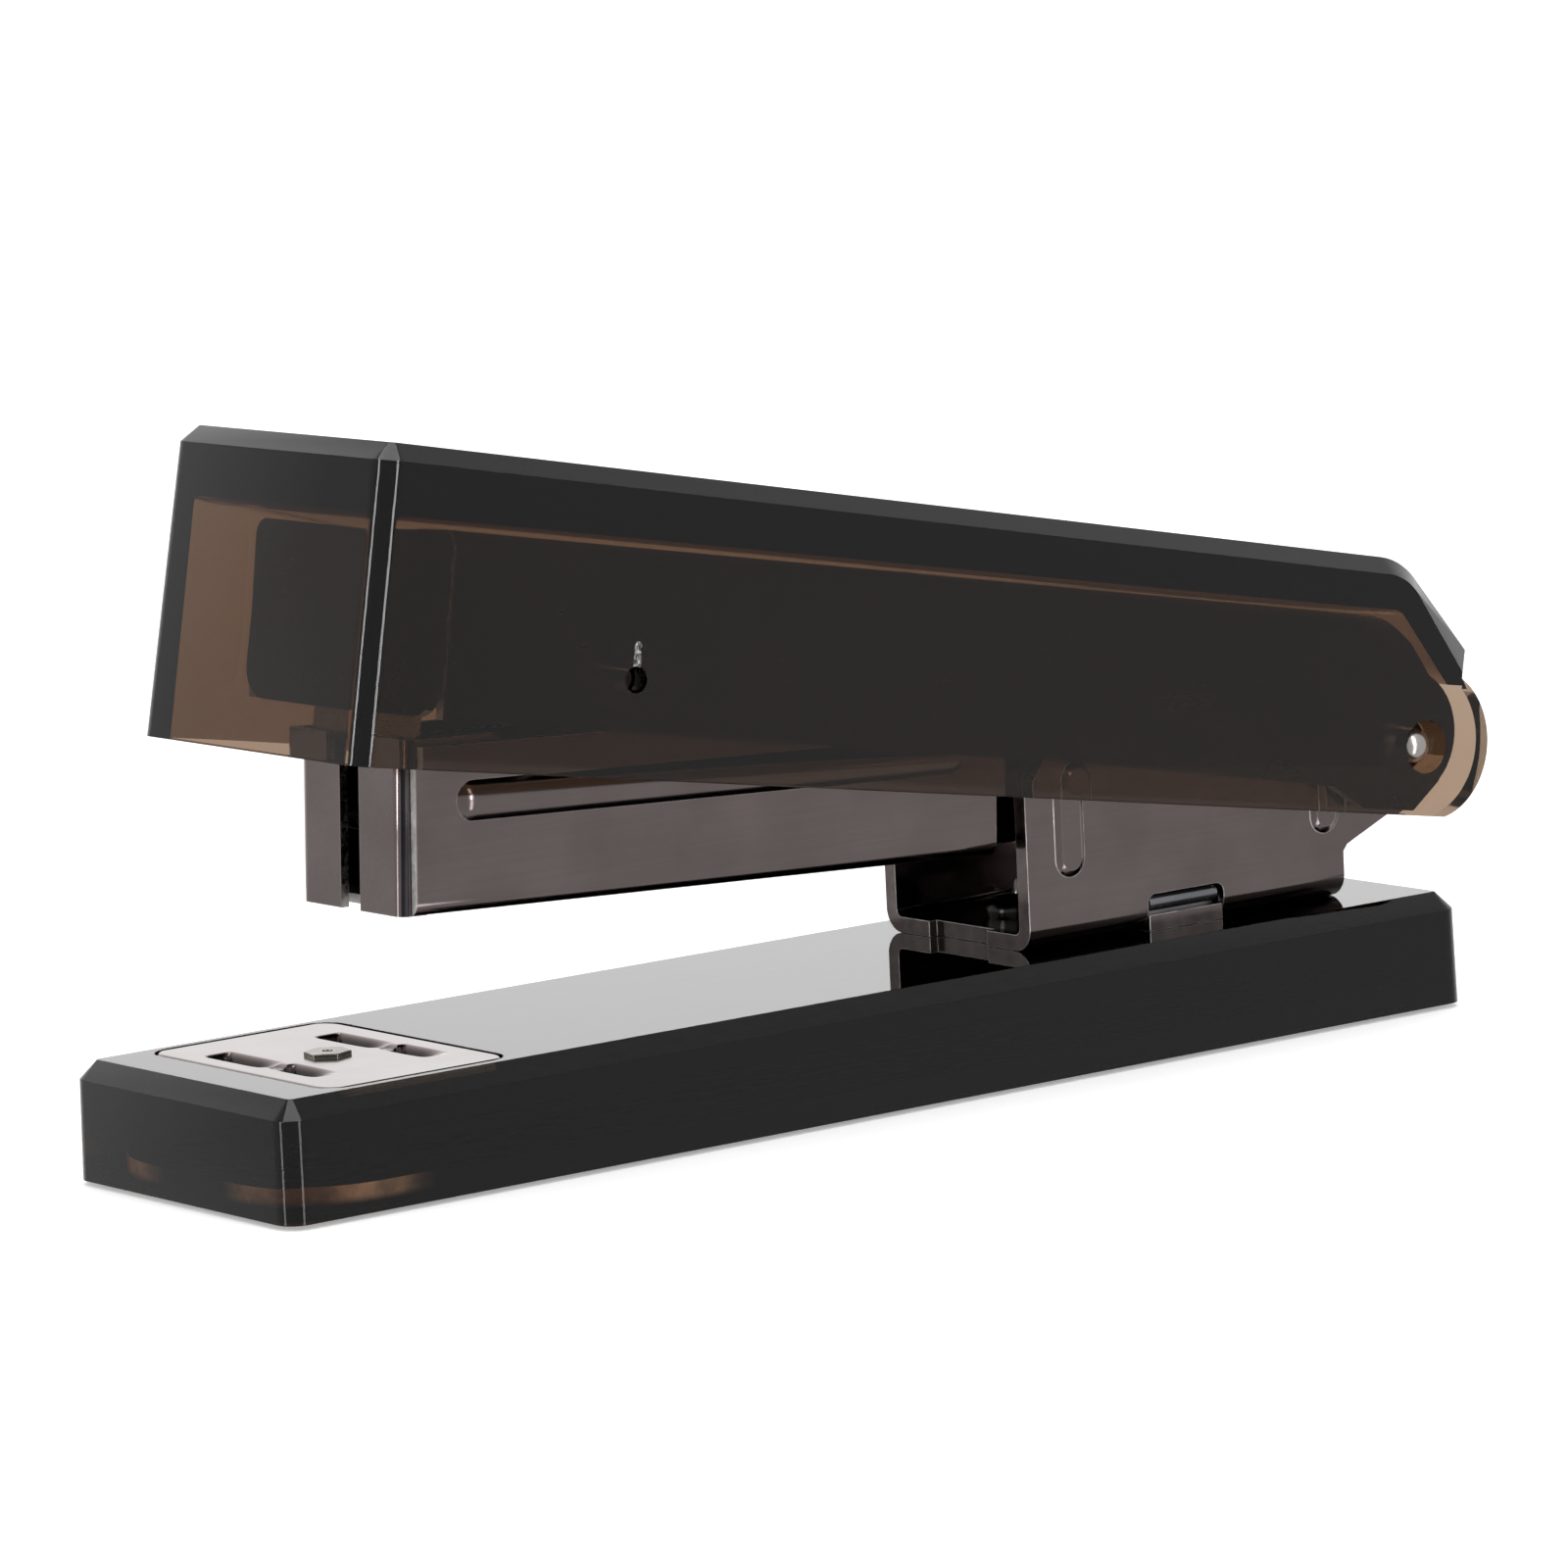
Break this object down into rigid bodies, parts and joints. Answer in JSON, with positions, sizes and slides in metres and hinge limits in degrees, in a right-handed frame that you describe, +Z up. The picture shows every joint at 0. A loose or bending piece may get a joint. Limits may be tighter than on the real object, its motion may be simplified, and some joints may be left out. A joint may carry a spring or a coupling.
{
  "type": "stapler",
  "caption": "Desk stapler with a smoked clear cover and base, a dark plated steel magazine on a sprung hinge, and an inlaid clinching plate.",
  "frame": {"origin": "centre of the foot pad's underside, on the surface that the stapler stands on", "axes": "+X from the nose towards the hinge, +Y across the width, +Z up"},
  "size_m": [0.1359, 0.0332, 0.0641],
  "materials": {
    "smoked_acrylic": "polished, see-through smoke brown",
    "gunmetal_plate": "bright black nickel plating",
    "black_plate": "dark plating, smooth",
    "nickel_plate": "bright nickel plating",
    "spring_steel": "oiled spring steel",
    "staple_wire": "galvanised wire, satin",
    "black_rubber": "matt"
  },
  "bodies": {
    "base": {"base_block": "smoked_acrylic", "foot_pad": "black_rubber", "anvil_plate": "gunmetal_plate", "anvil_nut": "gunmetal_plate", "anvil_screw": "nickel_plate", "hinge_bracket": "gunmetal_plate", "bracket_rivets": "gunmetal_plate", "lift_spring": "spring_steel", "hinge_pin": "nickel_plate", "hinge_spacers": "nickel_plate"},
    "magazine": {"magazine_shell": "gunmetal_plate", "staple_track": "gunmetal_plate", "staple_core": "gunmetal_plate", "staple_strip": "staple_wire", "follower_rod": "nickel_plate", "rod_stop": "gunmetal_plate"},
    "follower_slide": {"follower": "gunmetal_plate", "follower_spring": "spring_steel"},
    "handle": {"handle_cover": "smoked_acrylic", "handle_frame": "black_plate", "driver_blade": "nickel_plate", "driver_rivets": "nickel_plate", "cover_pins": "gunmetal_plate", "handle_spring": "spring_steel", "spring_rivet": "nickel_plate"}
  },
  "joints": [
    {"name": "magazine_hinge", "type": "hinge", "parent": "base", "child": "magazine", "pos_m": [0.0622, 0, 0.0247], "axis": [0, 1, 0], "range_deg": [-6.1, 0], "stiffness_Nm_per_rad": 3, "springref_deg": 3.44, "deforming": ["lift_spring"]},
    {"name": "handle_hinge", "type": "hinge", "parent": "magazine", "child": "handle", "pos_m": [0.0622, 0, 0.0247], "axis": [0, 1, 0], "range_deg": [-6.5, 75], "stiffness_Nm_per_rad": 1.5, "springref_deg": 1.89, "deforming": ["handle_spring"]},
    {"name": "follower_travel", "type": "slide", "parent": "magazine", "child": "follower_slide", "axis": [0.9988, 0, -0.049], "range_m": [0, 0.02], "stiffness_N_per_m": 25, "springref_m": -0.06, "deforming": ["follower_spring"]}
  ]
}
